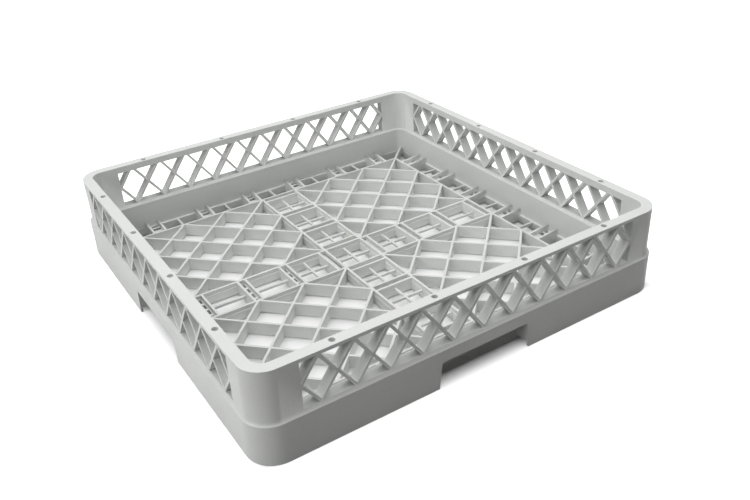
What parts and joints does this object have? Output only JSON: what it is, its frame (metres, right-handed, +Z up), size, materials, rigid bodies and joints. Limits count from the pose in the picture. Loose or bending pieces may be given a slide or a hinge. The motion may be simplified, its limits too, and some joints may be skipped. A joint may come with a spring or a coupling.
{
  "type": "dishwasher rack",
  "caption": "Open square dishwasher rack in light grey plastic with a lattice wall, a hollow skirt that nests on the rim of the rack below, and an open ribbed floor.",
  "frame": {"origin": "middle of the rack, on the surface that it stands on", "axes": "+Z up, X and Y along the sides of the square, -Y towards the side on the right of the picture"},
  "size_m": [0.5, 0.5, 0.102],
  "materials": {
    "rack": "light grey moulded polypropylene with a fine even grain"
  },
  "bodies": {
    "root": {"rack": "rack"}
  },
  "joints": []
}
